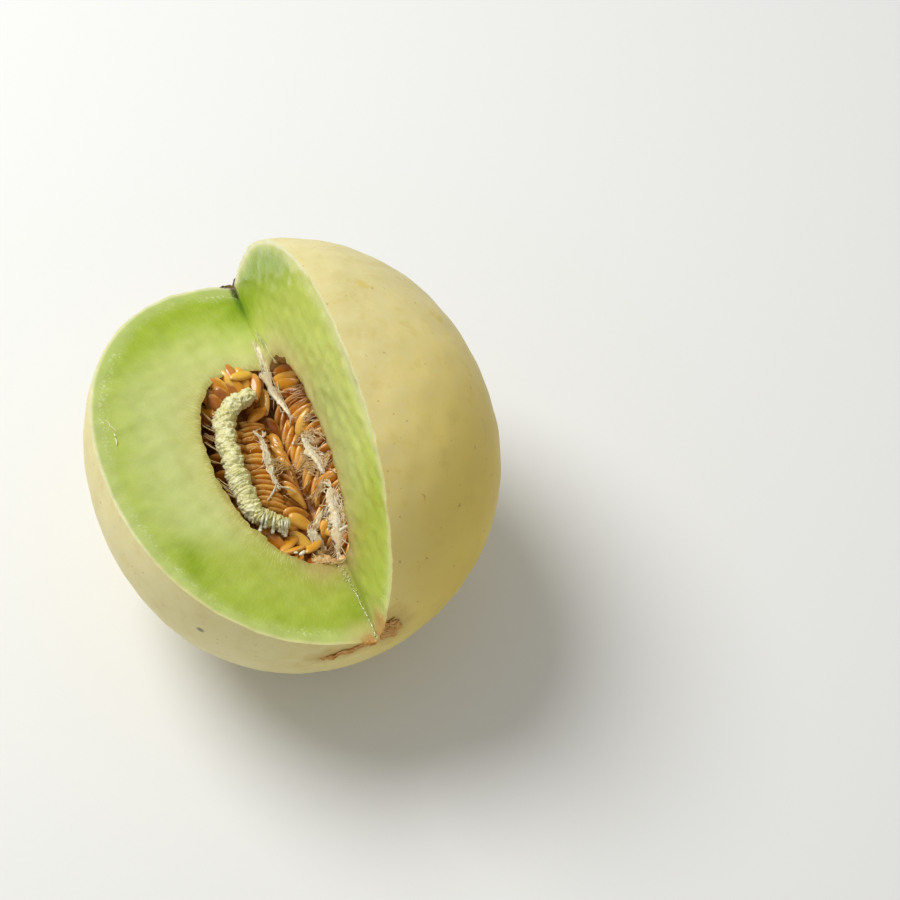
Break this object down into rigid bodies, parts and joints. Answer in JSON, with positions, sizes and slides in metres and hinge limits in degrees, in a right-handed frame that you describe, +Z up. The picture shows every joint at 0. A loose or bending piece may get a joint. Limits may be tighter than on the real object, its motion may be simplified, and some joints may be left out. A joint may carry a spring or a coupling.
{
  "type": "cut honeydew melon",
  "caption": "Whole honeydew melon lying on its side with one lengthwise wedge cut out, open to its hollow of seeds, seed strand and fibres.",
  "frame": {"origin": "on the surface that the melon rests on, below the middle of its outline seen from above", "axes": "+Y along the melon's axis towards its stem end, +Z up; the cut-out wedge opens upwards and to -X"},
  "size_m": [0.1491, 0.1622, 0.1477],
  "materials": {
    "flesh_and_rind": "satin cream rind, with wet translucent green flesh on the cuts",
    "seeds": "wet glossy orange-brown seeds among white fibres",
    "strand": "moist pale green, finely folded",
    "fibre": "moist white plant fibre"
  },
  "bodies": {
    "root": {"melon": "flesh_and_rind", "seed_mass": "seeds", "seed_strand": "strand"}
  },
  "joints": []
}
